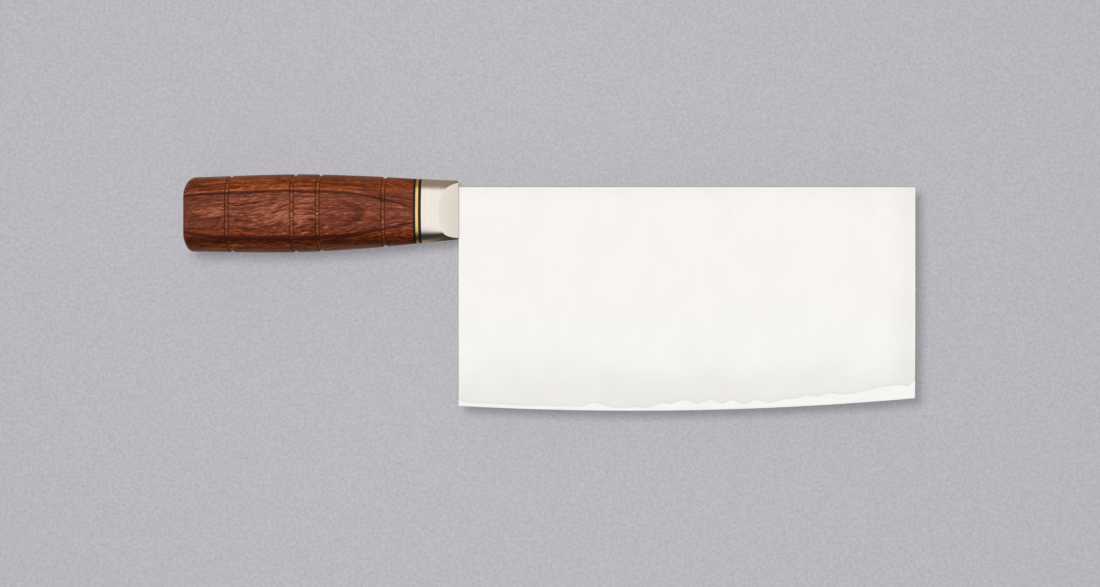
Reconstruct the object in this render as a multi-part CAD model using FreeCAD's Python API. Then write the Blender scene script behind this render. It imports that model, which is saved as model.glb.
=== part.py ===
# A Chinese cleaver: a laminated blade, a scooped steel bolster, three spacer rings and a grooved wooden
# handle, held together by a rod tang that runs through to a slotted nut in the butt.
# X runs from the heel to the tip, Y from the edge to the spine, Z out of the blade's front face.
# The origin is on the blade's middle plane, where the handle's axis meets the heel. Sizes in millimetres.
import FreeCAD
import Part
import math
import os

from FreeCAD import Vector

# Blade outline and thickness
BLADE_LENGTH = 200.0
BLADE_HEIGHT = 98.2
BLADE_THICKNESS = 2.2
SPINE_ABOVE_AXIS = 10.9
EDGE_RADIUS = 1386.0
EDGE_LOW_SHARE = 0.383
TIP_CORNER_RADIUS = 0.9
SPINE_EASING = 0.4

# Convex grind, edge bevel and the land left at the edge itself
GRIND_HEIGHT = 45.0
BEVEL_HEIGHT = 0.7
BEVEL_THICKNESS = 0.40
EDGE_THICKNESS = 0.06

# Hard core between two claddings, which end in a forged, wavy line above the edge
CORE_THICKNESS = 0.44
CORE_BAND = 6.2
# Each pair is a place along the blade and how far the core shows above the bevel there, up to CORE_BAND.
CORE_LINE_SHARES = (
    (0.000, 0.24), (0.022, 0.14), (0.053, 0.12), (0.105, 0.12), (0.158, 0.12), (0.185, 0.17),
    (0.209, 0.12), (0.237, 0.17), (0.264, 0.13), (0.297, 0.36), (0.338, 0.13), (0.388, 0.14),
    (0.416, 0.13), (0.444, 0.32), (0.465, 0.29), (0.496, 0.55), (0.525, 0.18), (0.551, 0.50),
    (0.576, 0.16), (0.599, 0.37), (0.625, 0.16), (0.653, 0.39), (0.677, 0.15), (0.710, 0.34),
    (0.738, 0.28), (0.766, 0.52), (0.791, 0.39), (0.811, 0.66), (0.829, 0.49), (0.864, 0.47),
    (0.923, 0.78), (0.965, 0.81), (0.985, 0.63), (1.000, 1.00),
)
CORE_LINE_STEPS = 80

# Handle, from the bolster's nose back to the butt
BOLSTER_LENGTH = 16.15
BLACK_SPACER_LENGTH = 1.05
BRASS_SPACER_LENGTH = 1.25
WOOD_LENGTH = 99.1

# Height above the axis, depth below it and thickness at five stations of the handle
BUTT_TOP = 14.85
BUTT_BOTTOM = 17.5
BUTT_THICKNESS = 26.6
BELLY_TOP = 16.3
BELLY_BOTTOM = 17.85
BELLY_THICKNESS = 26.4
SHOULDER_TOP = 15.5
SHOULDER_BOTTOM = 16.1
SHOULDER_THICKNESS = 26.0
COLLAR_TOP = 14.4
COLLAR_BOTTOM = 14.15
COLLAR_THICKNESS = 16.4
NOSE_TOP = 13.5
NOSE_BOTTOM = 12.2
NOSE_THICKNESS = 14.4
BELLY_SHARE = 0.40
SHOULDER_SHARE = 0.663

# Section of the handle: flat front and back, bulging top and bottom, rounded corners
SIDE_BULGE_SHARE = 0.46
CORNER_SHARES = (0.42, 0.42, 0.43, 0.65, 0.65)

# Rounded rim of the butt
BUTT_ROUNDING = 4.0
ROUNDING_STEPS = 4

# Turned grooves, as shares of the wood's length from the butt
GROOVE_SHARES = (0.196, 0.478, 0.590, 0.872)
GROOVE_WIDTH = 2.1
GROOVE_FLOOR = 1.1
GROOVE_DEPTH = 0.6

# Steps of the blank's loft from rim to first groove, from groove to groove, and on to wood's end, bolster,
# scoop and nose
SPAN_STEPS = (1, 2, 1, 4, 3, 1, 1, 2)

# Bolster
SCOOP_LENGTH = 8.4
SCOOP_RADIUS = 34.0
NOSE_TIP_THICKNESS = 6.2
NOSE_BEVEL_LENGTH = 1.9
NOSE_BEVEL_DROP = 1.0
COLLAR_CHAMFER = 0.3

# Rod tang: a fork takes the blade's stub, a thinner threaded end takes the nut
STUB_HEIGHT = 14.0
STUB_THICKNESS = 2.0
STUB_BACK_WALL = 4.6
ROD_DIAMETER = 8.0
FORK_DEPTH = 6.0
THREAD_DIAMETER = 6.0
BEDDING_THICKNESS = 1.0
BEDDING_END = 1.0

# Nut and washer sunk in the butt
NUT_DIAMETER = 11.0
NUT_HEIGHT = 5.0
NUT_RECESS = 0.4
NUT_SLOT_WIDTH = 1.6
NUT_SLOT_DEPTH = 1.3
WASHER_THICKNESS = 1.2
BUTT_WEB = 9.0

# Fits and the amount by which a cut runs past what it cuts
FIT = 0.05
BORE_CLEARANCE = 0.1
OVERRUN = 5.0

# Faces between the pieces along the handle, and the depths in the butt
SPINE_Y = SPINE_ABOVE_AXIS
EDGE_LOW_Y = SPINE_Y - BLADE_HEIGHT
BOLSTER_REAR = -BOLSTER_LENGTH
BRASS_FRONT = BOLSTER_REAR - BLACK_SPACER_LENGTH
BRASS_REAR = BRASS_FRONT - BRASS_SPACER_LENGTH
WOOD_FRONT = BRASS_REAR - BLACK_SPACER_LENGTH
BUTT = WOOD_FRONT - WOOD_LENGTH
NUT_FACE = BUTT + NUT_RECESS
WASHER_FACE = NUT_FACE + NUT_HEIGHT
SEAT_FACE = WASHER_FACE + WASHER_THICKNESS
BORE_END = SEAT_FACE + BUTT_WEB
ROD_SHOULDER = BORE_END + BEDDING_END
STUB_END = BOLSTER_REAR + STUB_BACK_WALL
ROD_FRONT = STUB_END + FORK_DEPTH
REACH = BLADE_HEIGHT

STATIONS = (BUTT, BUTT + BELLY_SHARE * -BUTT, BUTT + SHOULDER_SHARE * -BUTT, WOOD_FRONT, 0.0)
TOPS = (BUTT_TOP, BELLY_TOP, SHOULDER_TOP, COLLAR_TOP, NOSE_TOP)
BOTTOMS = (BUTT_BOTTOM, BELLY_BOTTOM, SHOULDER_BOTTOM, COLLAR_BOTTOM, NOSE_BOTTOM)
THICKNESSES = (BUTT_THICKNESS, BELLY_THICKNESS, SHOULDER_THICKNESS, COLLAR_THICKNESS, NOSE_THICKNESS)


def block(x0, x1, y0, y1, z0, z1):
    """A block between two corners."""
    return Part.makeBox(x1 - x0, y1 - y0, z1 - z0, Vector(x0, y0, z0))


def bar(x0, x1, diameter):
    """A round bar on the handle's axis."""
    return Part.makeCylinder(diameter / 2, x1 - x0, Vector(x0, 0, 0), Vector(1, 0, 0))


def smooth(places, values, x):
    """The smooth curve through values at places, at x."""
    last = len(places) - 1
    i = 0
    while i < last - 1 and x > places[i + 1]:
        i += 1

    def slope(k):
        a, b = max(k - 1, 0), min(k + 1, last)
        return (values[b] - values[a]) / (places[b] - places[a])

    run = places[i + 1] - places[i]
    t = (x - places[i]) / run
    rise = values[i + 1] - values[i]
    start, end = slope(i) * run, slope(i + 1) * run
    return values[i] + t * (start + t * (3 * rise - 2 * start - end + t * (start + end - 2 * rise)))


def handle_section(x, inset=0.0):
    """The handle's outline across its axis at x, drawn in by an inset."""
    top = smooth(STATIONS, TOPS, x) - inset
    bottom = smooth(STATIONS, BOTTOMS, x) - inset
    half = smooth(STATIONS, THICKNESSES, x) / 2 - inset
    bulge = SIDE_BULGE_SHARE * half
    radius = (half ** 2 + bulge ** 2) / (2 * bulge)
    corner = smooth(STATIONS, CORNER_SHARES, x) * half
    reach = math.sqrt((radius - corner) ** 2 - (half - corner) ** 2)
    lean = math.atan2(half - corner, reach)
    mid_lean = (lean + math.pi / 2) / 2

    def side(end, sign):
        centre = end - radius
        flat = Vector(x, sign * (centre + reach), half)
        middle = Vector(x, sign * (centre + reach + corner * math.cos(mid_lean)),
                        half - corner + corner * math.sin(mid_lean))
        tangent = Vector(x, sign * (centre + radius * math.cos(lean)), radius * math.sin(lean))
        return flat, middle, tangent, Vector(x, sign * end, 0)

    def back(point):
        return Vector(point.x, point.y, -point.z)

    up, up_mid, up_tangent, crest = side(top, 1)
    down, down_mid, down_tangent, trough = side(bottom, -1)
    curves = (
        Part.LineSegment(down, up),
        Part.Arc(up, up_mid, up_tangent),
        Part.Arc(up_tangent, crest, back(up_tangent)),
        Part.Arc(back(up_tangent), back(up_mid), back(up)),
        Part.LineSegment(back(up), back(down)),
        Part.Arc(back(down), back(down_mid), back(down_tangent)),
        Part.Arc(back(down_tangent), trough, down_tangent),
        Part.Arc(down_tangent, down_mid, down),
    )
    return Part.Wire([curve.toShape() for curve in curves])


def handle_blank():
    """One blank for wood, spacers and bolster, so that they run flush: a loft from the butt's flat to the nose."""
    rim = BUTT + BUTT_ROUNDING
    places = []
    for i in range(ROUNDING_STEPS):
        turn = math.pi / 2 * (1 - i / ROUNDING_STEPS)
        places.append((rim - BUTT_ROUNDING * math.sin(turn), BUTT_ROUNDING * (1 - math.cos(turn))))
    marks = [rim] + [groove_x(share) for share in GROOVE_SHARES] + [WOOD_FRONT, BOLSTER_REAR, -SCOOP_LENGTH, 0]
    for start, end, steps in zip(marks, marks[1:], SPAN_STEPS):
        places += [(start + (end - start) * i / steps, 0) for i in range(steps)]
    places.append((0, 0))
    return Part.makeLoft([handle_section(*place) for place in places], True, True)


def slice_of(blank, x0, x1):
    """The stretch of the blank between two faces across its axis."""
    return blank.common(block(x0, x1, -REACH, REACH, -REACH, REACH))


def groove_x(share):
    """The middle of a groove at a share of the wood's length."""
    return BUTT + share * WOOD_LENGTH


def groove(x):
    """The ring that a turned groove takes off: sloped sides, flat floor, even depth all round."""
    slope = (GROOVE_WIDTH - GROOVE_FLOOR) / 2 / GROOVE_DEPTH
    wide = GROOVE_WIDTH / 2 + slope * GROOVE_DEPTH
    floor = GROOVE_FLOOR / 2
    places = ((x - wide, -GROOVE_DEPTH), (x - floor, GROOVE_DEPTH),
              (x + floor, GROOVE_DEPTH), (x + wide, -GROOVE_DEPTH))
    waist = Part.makeLoft([handle_section(*place) for place in places], True, True)
    slab = block(x - wide, x + wide, -REACH, REACH, -REACH, REACH)
    return slab.cut(waist)


def handle(blank):
    """The wooden handle: bored for the tang, counterbored for washer and nut, with its turned grooves."""
    wood = slice_of(blank, BUTT - OVERRUN, WOOD_FRONT)
    wood = wood.cut(bar(BORE_END, WOOD_FRONT + OVERRUN, ROD_DIAMETER + 2 * BEDDING_THICKNESS))
    wood = wood.cut(bar(SEAT_FACE - OVERRUN, BORE_END + OVERRUN, THREAD_DIAMETER + 2 * BORE_CLEARANCE))
    wood = wood.cut(bar(BUTT - OVERRUN, SEAT_FACE, NUT_DIAMETER + 2 * BORE_CLEARANCE))
    return wood.cut([groove(groove_x(share)) for share in GROOVE_SHARES])


def spacer(blank, x0, x1):
    """A flush ring between bolster and wood, with a hole for the tang."""
    hole = bar(x0 - OVERRUN, x1 + OVERRUN, ROD_DIAMETER + 2 * FIT)
    return slice_of(blank, x0, x1).cut(hole)


def scoop():
    """The hollow ground into the bolster's front side, which thins it towards the blade."""
    start_half = smooth(STATIONS, THICKNESSES, -SCOOP_LENGTH) / 2
    end_half = NOSE_TIP_THICKNESS / 2
    start = Vector(-SCOOP_LENGTH, -REACH, start_half)
    end = Vector(0, -REACH, end_half)
    chord = end - start
    dip = SCOOP_RADIUS - math.sqrt(SCOOP_RADIUS ** 2 - (chord.Length / 2) ** 2)
    inward = Vector(chord.z, 0, -chord.x).normalize()
    middle = (start + end) / 2 - Vector(inward.x, 0, abs(inward.z)) * dip
    far = start_half + OVERRUN
    outside = (end, Vector(OVERRUN, -REACH, end_half), Vector(OVERRUN, -REACH, far),
               Vector(-SCOOP_LENGTH, -REACH, far), start)
    edges = [Part.Arc(start, middle, end).toShape(), Part.makePolygon(outside)]
    return Part.Face(Part.Wire(edges)).extrude(Vector(0, 2 * REACH, 0))


def nose_bevel():
    """The wedge off the top of the bolster's nose, behind the spine."""
    outline = (Vector(-NOSE_BEVEL_LENGTH, NOSE_TOP, -REACH), Vector(0, NOSE_TOP - NOSE_BEVEL_DROP, -REACH),
               Vector(OVERRUN, NOSE_TOP - NOSE_BEVEL_DROP, -REACH), Vector(OVERRUN, REACH, -REACH),
               Vector(-NOSE_BEVEL_LENGTH, REACH, -REACH))
    wedge = Part.Face(Part.makePolygon(outline + outline[:1]))
    return wedge.extrude(Vector(0, 0, 2 * REACH))


def bolster(blank):
    """The steel bolster: scooped both sides, bevelled at the nose, slotted for the stub and bored for the rod."""
    body = slice_of(blank, BOLSTER_REAR, OVERRUN)
    rear = min(body.Faces, key=lambda face: face.CenterOfMass.x)
    body = body.makeChamfer(COLLAR_CHAMFER, rear.Edges)
    front = scoop()
    rear_side = front.mirror(Vector(0, 0, 0), Vector(0, 0, 1))
    half = STUB_THICKNESS / 2 + FIT
    tall = STUB_HEIGHT / 2 + FIT
    slot = block(STUB_END - FIT, OVERRUN, -tall, tall, -half, half)
    bore = bar(BOLSTER_REAR - OVERRUN, ROD_FRONT + FIT, ROD_DIAMETER + 2 * FIT)
    return body.cut([front, rear_side, nose_bevel(), slot, bore])


def edge_centre():
    """The centre of the arc that the cutting edge follows."""
    return Vector(EDGE_LOW_SHARE * BLADE_LENGTH, EDGE_LOW_Y + EDGE_RADIUS, 0)


def edge_y(x):
    """The height of the cutting edge at x."""
    centre = edge_centre()
    return centre.y - math.sqrt(EDGE_RADIUS ** 2 - (x - centre.x) ** 2)


def blade_body():
    """The blade, turned about the centre of the edge's arc, so that the grind follows the edge."""
    centre = edge_centre()
    half, shoulder, land = BLADE_THICKNESS / 2, BEVEL_THICKNESS / 2, EDGE_THICKNESS / 2
    run, drop = GRIND_HEIGHT - BEVEL_HEIGHT, half - shoulder
    grind_radius = (run ** 2 + drop ** 2) / (2 * drop)
    bulge = half - grind_radius + math.sqrt(grind_radius ** 2 - (run / 2) ** 2)
    head = BLADE_HEIGHT + OVERRUN

    def point(height, offset):
        return Vector(centre.x, EDGE_LOW_Y + height, offset)

    def flank(sign):
        low, high = point(BEVEL_HEIGHT, sign * shoulder), point(GRIND_HEIGHT, sign * half)
        middle = point(BEVEL_HEIGHT + run / 2, sign * bulge)
        return [Part.Arc(low, middle, high).toShape(), Part.makeLine(high, point(head, sign * half))]

    foot = Part.makePolygon([point(BEVEL_HEIGHT, -shoulder), point(0, -land), point(0, land),
                             point(BEVEL_HEIGHT, shoulder)])
    top = Part.makeLine(point(head, half), point(head, -half))
    section = Part.Face(Part.Wire(flank(1) + [top] + flank(-1)[::-1] + foot.Edges))
    inner = EDGE_RADIUS - head
    back = math.degrees(math.asin((centre.x + OVERRUN) / inner))
    ahead = math.degrees(math.asin((BLADE_LENGTH - centre.x + OVERRUN) / inner))
    section.rotate(centre, Vector(0, 0, 1), -back)
    turned = section.revolve(centre, Vector(0, 0, 1), back + ahead)
    plan = block(0, BLADE_LENGTH, EDGE_LOW_Y - OVERRUN, SPINE_Y, -half - OVERRUN, half + OVERRUN)
    return plan.common(turned)


def eased_spine(body):
    """Rounds the two long edges of the spine."""
    edges = [edge for edge in body.Edges
             if edge.Length > BLADE_LENGTH / 2 and edge.CenterOfMass.y > SPINE_Y - SPINE_EASING]
    return body.makeFillet(SPINE_EASING, edges)


def rounded_tip(body):
    """Rounds the corner between the spine and the tip."""
    x, y = BLADE_LENGTH - TIP_CORNER_RADIUS, SPINE_Y - TIP_CORNER_RADIUS
    corner = block(x, BLADE_LENGTH + OVERRUN, y, SPINE_Y + OVERRUN, -BLADE_THICKNESS, BLADE_THICKNESS)
    post = Part.makeCylinder(TIP_CORNER_RADIUS, 2 * BLADE_THICKNESS, Vector(x, y, -BLADE_THICKNESS))
    return body.cut(corner.cut(post))


def stub():
    """The short tang of the blade's own steel, which enters the bolster."""
    return block(STUB_END, 0, -STUB_HEIGHT / 2, STUB_HEIGHT / 2, -STUB_THICKNESS / 2, STUB_THICKNESS / 2)


def core_zone():
    """Everything below the wavy line where the claddings end."""
    places, shown = zip(*CORE_LINE_SHARES)
    line = []
    for i in range(CORE_LINE_STEPS + 1):
        along = i / CORE_LINE_STEPS
        x = along * BLADE_LENGTH
        rise = BEVEL_HEIGHT + smooth(places, shown, along) * CORE_BAND
        line.append(Vector(x, edge_y(x) + rise, -BLADE_THICKNESS))
    line = [line[0] - Vector(OVERRUN, 0, 0)] + line + [line[-1] + Vector(OVERRUN, 0, 0)]
    low = EDGE_LOW_Y - OVERRUN
    under = [Vector(line[-1].x, low, line[-1].z), Vector(line[0].x, low, line[0].z), line[0]]
    face = Part.Face(Part.makePolygon(line + under))
    return face.extrude(Vector(0, 0, 2 * BLADE_THICKNESS))


def blade():
    """The core plate with its bare edge, and the front and back claddings."""
    whole = rounded_tip(eased_spine(blade_body()))
    whole = whole.fuse(stub()).removeSplitter()
    plate = block(STUB_END, BLADE_LENGTH, EDGE_LOW_Y, SPINE_Y, -CORE_THICKNESS / 2, CORE_THICKNESS / 2)
    core_space = plate.fuse(core_zone())
    claddings = sorted(whole.cut(core_space).Solids, key=lambda solid: solid.CenterOfMass.z)
    return whole.common(core_space), claddings[1], claddings[0]


def tang_rod():
    """The rod welded round the stub, thinner where it passes the butt, slotted at its end with the nut."""
    rod = bar(ROD_SHOULDER, ROD_FRONT, ROD_DIAMETER).fuse(bar(NUT_FACE, ROD_SHOULDER, THREAD_DIAMETER))
    half = STUB_THICKNESS / 2 + FIT
    fork = block(STUB_END - FIT, ROD_FRONT + OVERRUN, -ROD_DIAMETER, ROD_DIAMETER, -half, half)
    return rod.removeSplitter().cut([fork, nut_slot()])


def nut_slot():
    """The driver slot across the nut and the end of the rod."""
    half = NUT_SLOT_WIDTH / 2
    return block(NUT_FACE - OVERRUN, NUT_FACE + NUT_SLOT_DEPTH, -NUT_DIAMETER, NUT_DIAMETER, -half, half)


def tang_bedding():
    """The hardened bedding compound between the rod and the handle's bore."""
    fill = bar(BORE_END, WOOD_FRONT, ROD_DIAMETER + 2 * BEDDING_THICKNESS)
    thin = bar(BORE_END - OVERRUN, ROD_SHOULDER, THREAD_DIAMETER)
    return fill.cut(bar(ROD_SHOULDER, WOOD_FRONT + OVERRUN, ROD_DIAMETER)).cut(thin)


def butt_washer():
    """The washer that spreads the nut's pull over the wood."""
    hole = bar(WASHER_FACE - OVERRUN, SEAT_FACE + OVERRUN, THREAD_DIAMETER + 2 * FIT)
    return bar(WASHER_FACE, SEAT_FACE, NUT_DIAMETER).cut(hole)


def butt_nut():
    """The round slotted nut that draws the handle together."""
    body = bar(NUT_FACE, WASHER_FACE, NUT_DIAMETER)
    thread = bar(NUT_FACE - OVERRUN, WASHER_FACE + OVERRUN, THREAD_DIAMETER + 2 * FIT)
    return body.cut([thread, nut_slot()])


def main():
    """Builds every piece and writes one STEP file for each."""
    blank = handle_blank()
    blade_core, front_cladding, back_cladding = blade()
    pieces = {
        "blade_core": blade_core,
        "front_cladding": front_cladding,
        "back_cladding": back_cladding,
        "bolster": bolster(blank),
        "front_black_spacer": spacer(blank, BRASS_FRONT, BOLSTER_REAR),
        "brass_spacer": spacer(blank, BRASS_REAR, BRASS_FRONT),
        "rear_black_spacer": spacer(blank, WOOD_FRONT, BRASS_REAR),
        "handle": handle(blank),
        "tang_rod": tang_rod(),
        "tang_bedding": tang_bedding(),
        "butt_washer": butt_washer(),
        "butt_nut": butt_nut(),
    }
    os.makedirs("parts", exist_ok=True)
    for name, shape in pieces.items():
        if not shape.isValid() or len(shape.Solids) != 1:
            raise ValueError(f"{name} is not one sound solid")
        shape.Solids[0].exportStep(f"parts/{name}.step")
        print(name, round(shape.Volume, 1), "cubic mm")


main()
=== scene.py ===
"""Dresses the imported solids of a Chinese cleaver: finished pieces, procedural materials and a photo stage."""
import math

import bmesh
import bpy
from bpy.props import FloatProperty, FloatVectorProperty, PointerProperty
from bpy.types import Operator, Panel, PropertyGroup
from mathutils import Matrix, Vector


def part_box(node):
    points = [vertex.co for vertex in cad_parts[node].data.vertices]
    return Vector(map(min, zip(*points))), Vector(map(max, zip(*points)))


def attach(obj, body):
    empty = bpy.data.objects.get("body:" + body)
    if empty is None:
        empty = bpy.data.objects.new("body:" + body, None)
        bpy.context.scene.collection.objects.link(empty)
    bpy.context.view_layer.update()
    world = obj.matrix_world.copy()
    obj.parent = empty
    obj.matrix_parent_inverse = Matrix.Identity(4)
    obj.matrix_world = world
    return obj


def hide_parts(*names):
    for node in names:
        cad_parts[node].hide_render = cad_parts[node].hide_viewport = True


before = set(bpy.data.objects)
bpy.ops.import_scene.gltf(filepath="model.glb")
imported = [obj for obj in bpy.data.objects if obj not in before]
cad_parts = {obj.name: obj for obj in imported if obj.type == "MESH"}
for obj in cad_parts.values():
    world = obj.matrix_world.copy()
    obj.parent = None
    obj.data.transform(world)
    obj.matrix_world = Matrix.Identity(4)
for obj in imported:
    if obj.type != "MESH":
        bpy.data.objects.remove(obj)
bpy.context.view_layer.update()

bl_info = {
    "name": "Chinese Cleaver",
    "version": (1, 0, 0),
    "blender": (4, 5, 0),
    "location": "3D View > Sidebar > Cleaver",
    "description": "Builds the finished pieces of a laminated cleaver over its solids",
    "category": "Object",
}

MM = 0.001
WOOD_LOW, WOOD_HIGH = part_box("handle")
BOLSTER_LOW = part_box("bolster")[0]
CLADDING_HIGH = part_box("front_cladding")[1]
CORE_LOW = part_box("blade_core")[0]

# Crests and troughs of the line where the claddings end. Each pair is a place along the blade, as a share
# of its length, and the height of the bare core there, as a share of the core band.
CORE_LINE = (
    (0.000, 0.30), (0.022, 0.17), (0.053, 0.17), (0.105, 0.14), (0.158, 0.13), (0.185, 0.20),
    (0.209, 0.12), (0.237, 0.20), (0.264, 0.13), (0.297, 0.43), (0.338, 0.11), (0.388, 0.14),
    (0.416, 0.13), (0.444, 0.44), (0.465, 0.38), (0.496, 0.64), (0.525, 0.37), (0.551, 0.64),
    (0.576, 0.32), (0.599, 0.53), (0.625, 0.25), (0.653, 0.52), (0.677, 0.24), (0.710, 0.44),
    (0.738, 0.48), (0.766, 0.63), (0.791, 0.51), (0.811, 0.75), (0.829, 0.59), (0.864, 0.58),
    (0.923, 0.87), (0.965, 0.94), (0.985, 0.80), (1.000, 1.15),
)

# Steps along the blade, up a cladding's two faces, and up the core's bare band and its plate
BLADE_STEPS = 240
FACE_STEPS = 44
INNER_STEPS = 12
BAND_STEPS = 8
PLATE_STEPS = 10

# Steps round a quarter of the handle's outline: half the flat, the corner, half the bulging side
FLAT_STEPS = 8
CORNER_STEPS = 9
SIDE_STEPS = 8

# Steps round the butt's rim, and the distance of rings along the wood and near its front end
RIM_STEPS = 10
RING_SPACING = 1.8 * MM
FRONT_SPACING = 1.2 * MM

# Steps along the bolster and its scoop, and halvings that find where the scoop starts
BOLSTER_STEPS = 12
SCOOP_STEPS = 10
BORDER_HALVINGS = 30

# Points closer together than this become one
WELD = 0.0005 * MM

# A point of the bolster this close to the blade is on its end face
END_FACE = 0.006 * MM

# Share of the cards' light that reaches the table, and what makes up for the slant of the key light
CARD_LIGHT = 0.14
KEY_GAIN = 1.11


def length(name, description, millimetres):
    """A size in millimetres as a property in Blender's own unit."""
    return FloatProperty(name=name, description=description, default=millimetres * MM, unit="LENGTH",
                         precision=5)


def lengths(name, description, millimetres):
    """A row of sizes as one property."""
    return FloatVectorProperty(name=name, description=description, size=len(millimetres),
                               default=[size * MM for size in millimetres], unit="LENGTH", precision=5)


def share(name, description, value):
    """A part of a whole, from 0 to 1."""
    return FloatProperty(name=name, description=description, default=value, min=0, max=1, subtype="FACTOR")


def shares(name, description, values):
    """A row of shares as one property."""
    return FloatVectorProperty(name=name, description=description, size=len(values), default=values,
                               min=0, max=1)


def colour(name, description, value):
    """A linear colour."""
    return FloatVectorProperty(name=name, description=description, size=3, default=value, min=0, max=1,
                               subtype="COLOR")


class BladeSizes(PropertyGroup):
    """Sizes of the core and the two claddings."""
    tip: length("Tip", "Place of the tip, from the heel", CLADDING_HIGH.x / MM)
    spine: length("Spine", "Height of the spine above the handle's axis", CLADDING_HIGH.y / MM)
    edge_low: length("Lowest edge", "Height of the lowest point of the edge", CORE_LOW.y / MM)
    edge_low_place: share("Lowest place", "Where along the blade the edge is lowest", 0.383)
    edge_radius: length("Edge radius", "Radius of the arc of the edge", 1386)
    thickness: length("Thickness", "Thickness of the blade above the grind", 2.2)
    core: length("Core", "Thickness of the core between the claddings", 0.44)
    grind_height: length("Grind", "Height of the convex grind above the edge", 45)
    bevel_height: length("Bevel", "Height of the edge bevel", 0.7)
    bevel_thickness: length("Bevel thickness", "Thickness where bevel and grind meet", 0.4)
    land: length("Land", "Thickness left at the edge itself", 0.06)
    core_band: length("Core band", "Height of the bare core above the bevel near the tip", 6.2)
    lip: length("Lip", "Rounding of the claddings' lower border", 0.06)
    tip_radius: length("Tip corner", "Radius of the corner between spine and tip", 0.9)
    spine_easing: length("Spine easing", "Rounding along the spine", 0.4)
    end_easing: length("End easing", "Rounding at heel and tip", 0.18)


class HandleSizes(PropertyGroup):
    """Sizes of the wood, the spacers and the bolster, which share one outline."""
    tops: lengths("Tops", "Height above the axis at butt, belly, shoulder, collar and nose",
                  (14.85, 16.3, 15.5, 14.4, 13.5))
    bottoms: lengths("Bottoms", "Depth below the axis at the same places", (17.5, 17.85, 16.1, 14.15, 12.2))
    thicknesses: lengths("Thicknesses", "Thickness at the same places", (26.6, 26.4, 26.0, 16.4, 14.4))
    corners: shares("Corners", "Radius of the upper corners against half the thickness there",
                    (0.42, 0.42, 0.43, 0.65, 0.65))
    lower_corners: shares("Lower corners", "The same for the lower corners", (0.42, 0.42, 0.43, 0.45, 0.38))
    ovals: shares("Ovals", "How far front and back are rounded into an oval above the axis",
                  (0.0, 0.0, 0.0, 0.7, 0.9))
    lower_ovals: shares("Lower ovals", "The same below the axis", (0.0, 0.0, 0.0, 0.85, 0.2))
    belly: share("Belly", "Place of the belly between butt and nose", 0.40)
    shoulder: share("Shoulder", "Place of the shoulder between butt and nose", 0.663)
    bulges: shares("Bulges", "Bulge of the top against half the thickness", (0.46, 0.46, 0.46, 0.46, 0.46))
    lower_bulges: shares("Lower bulges", "The same for the bottom", (0.46, 0.46, 0.46, 0.46, 0.36))
    butt_rounding: length("Butt rounding", "Rounding of the butt's rim", 4.0)
    lower_rounding: length("Lower rounding", "Rounding of the rim at the bottom", 2.5)
    grooves: shares("Grooves", "Places of the grooves along the wood, from the butt",
                    (0.196, 0.478, 0.590, 0.872))
    groove_width: length("Groove width", "Width of a groove at the surface", 2.1)
    groove_floor: length("Groove floor", "Width of a groove's floor", 1.1)
    groove_depth: length("Groove depth", "Depth of a groove", 0.6)
    groove_easing: length("Groove easing", "Rounding of a groove's borders", 0.15)
    bore: length("Bore", "Radius of the bore for the bedded rod", 5.0)
    thread_hole: length("Thread hole", "Radius of the hole at the butt", 3.1)
    counterbore: length("Counterbore", "Radius of the nut's seat", 5.6)
    seat_depth: length("Seat depth", "Depth of the seat under the washer", 6.6)
    seat_easing: length("Seat easing", "Rounding of the seat's rim", 0.2)
    web: length("Web", "Wood between seat and bore", 9.0)
    nut_easing: length("Nut easing", "Rounding of the edges of nut and rod", 0.12)
    spacer_easing: length("Spacer easing", "Rounding of the spacers' rims", 0.06)
    figure: length("Figure", "How far the middle of the wood's figure is below the axis", 1.6)


class BolsterSizes(PropertyGroup):
    """Sizes of the bolster in front of the shared outline."""
    scoop_length: length("Scoop", "How far back from the blade the scoop starts", 8.4)
    scoop_radius: length("Scoop radius", "Radius of the hollow", 34)
    nose_thickness: length("Nose", "Thickness left at the blade", 6.2)
    bevel_length: length("Bevel length", "Length of the bevel behind the spine", 0.467)
    bevel_drop: length("Bevel drop", "Drop of the bevel behind the spine", 1.0)
    collar_easing: length("Collar easing", "Rounding of the rim at the spacers", 0.3)
    bore: length("Rod bore", "Radius of the bore for the rod", 4.05)
    bore_depth: length("Bore depth", "Depth of the bore from the rear", 10.65)


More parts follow.
